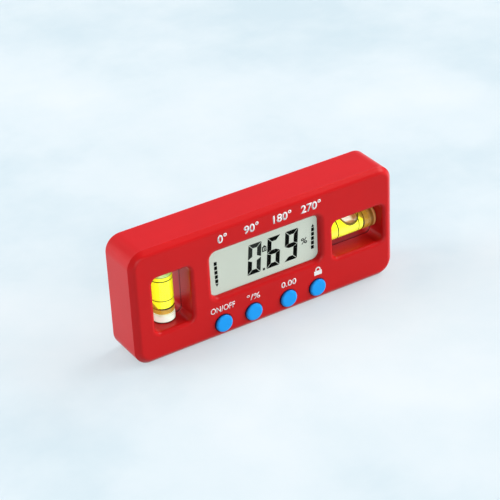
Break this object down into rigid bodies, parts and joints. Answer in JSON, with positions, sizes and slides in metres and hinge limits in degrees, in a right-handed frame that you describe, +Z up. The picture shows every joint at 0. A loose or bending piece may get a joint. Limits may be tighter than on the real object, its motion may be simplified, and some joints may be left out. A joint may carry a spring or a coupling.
{
  "type": "digital inclinometer",
  "caption": "Pocket digital level: a bevelled case with a recessed display, round push keys, and sight windows holding a lying and a standing spirit vial.",
  "frame": {"origin": "middle of the flat base face that is laid on the work", "axes": "+X along the case from the standing vial to the lying vial, +Y from the display to the rear cover, +Z up"},
  "size_m": [0.1, 0.017, 0.0416],
  "materials": {
    "case_red": "satin-gloss moulded plastic",
    "door_red": "satin-gloss moulded plastic",
    "key_blue": "satin moulded plastic",
    "lens_clear": "clear polished",
    "lcd_grey": "grey-green reflective",
    "frame_black": "moulded",
    "zebra_rubber": "matte",
    "board_green": "solder mask",
    "chip_black": "moulded epoxy",
    "crystal_steel": "plain",
    "capacitor_tan": "ceramic",
    "cell_steel": "plain",
    "spring_steel": "nickel plated",
    "screw_steel": "zinc plated",
    "magnet_nickel": "nickel plated",
    "switch_grey": "moulded",
    "switch_black": "moulded",
    "vial_acrylic": "clear polished",
    "vial_liquid": "fluorescent yellow liquid",
    "vial_stopper": "amber clear plastic",
    "bubble_air": "air"
  },
  "bodies": {
    "case": {"front_housing": "case_red", "rear_cover": "case_red", "coin_cell": "cell_steel", "battery_negative_contact": "spring_steel", "battery_positive_contact": "spring_steel", "display_window": "lens_clear", "lcd_panel": "lcd_grey", "lcd_frame": "frame_black", "zebra_strip_upper": "zebra_rubber", "zebra_strip_lower": "zebra_rubber", "main_board": "board_green", "microcontroller": "chip_black", "tilt_sensor": "chip_black", "clock_crystal": "crystal_steel", "board_capacitors": "capacitor_tan", "rear_cover_screws": "screw_steel", "board_screws": "screw_steel", "base_magnets": "magnet_nickel", "power_switch": "switch_black", "unit_switch": "switch_black", "zero_switch": "switch_black", "hold_switch": "switch_black", "level_vial_tube": "vial_acrylic", "level_vial_liquid": "vial_liquid", "level_vial_stopper": "vial_stopper", "level_vial_end_cap": "vial_acrylic", "plumb_vial_tube": "vial_acrylic", "plumb_vial_liquid": "vial_liquid", "plumb_vial_stopper": "vial_stopper", "plumb_vial_end_cap": "vial_acrylic"},
    "power_key": {"power_button": "key_blue", "power_plunger": "switch_grey"},
    "unit_key": {"unit_button": "key_blue", "unit_plunger": "switch_grey"},
    "zero_key": {"zero_button": "key_blue", "zero_plunger": "switch_grey"},
    "hold_key": {"hold_button": "key_blue", "hold_plunger": "switch_grey"},
    "battery_door": {"battery_door": "door_red"},
    "level_bubble": {"level_bubble": "bubble_air"},
    "plumb_bubble": {"plumb_bubble": "bubble_air"}
  },
  "joints": [
    {"name": "power_press", "type": "slide", "parent": "case", "child": "power_key", "axis": [0, 1, 0], "range_m": [0, 0.0005], "stiffness_N_per_m": 400, "springref_m": -0.0005},
    {"name": "unit_press", "type": "slide", "parent": "case", "child": "unit_key", "axis": [0, 1, 0], "range_m": [0, 0.0005], "stiffness_N_per_m": 400, "springref_m": -0.0005},
    {"name": "zero_press", "type": "slide", "parent": "case", "child": "zero_key", "axis": [0, 1, 0], "range_m": [0, 0.0005], "stiffness_N_per_m": 400, "springref_m": -0.0005},
    {"name": "hold_press", "type": "slide", "parent": "case", "child": "hold_key", "axis": [0, 1, 0], "range_m": [0, 0.0005], "stiffness_N_per_m": 400, "springref_m": -0.0005},
    {"name": "battery_door_turn", "type": "hinge", "parent": "case", "child": "battery_door", "pos_m": [-0.00137, 0.008, 0.02075], "axis": [0, 1, 0], "range_deg": [0, 60]},
    {"name": "level_bubble_drift", "type": "slide", "parent": "case", "child": "level_bubble", "axis": [1, 0, 0], "range_m": [-0.0051, 0.0009], "stiffness_N_per_m": 5, "deforming": ["level_vial_liquid"]},
    {"name": "plumb_bubble_drift", "type": "slide", "parent": "case", "child": "plumb_bubble", "axis": [0, 0, 1], "range_m": [-0.0112, 0], "stiffness_N_per_m": 2, "springref_m": 0.004, "deforming": ["plumb_vial_liquid"]}
  ]
}
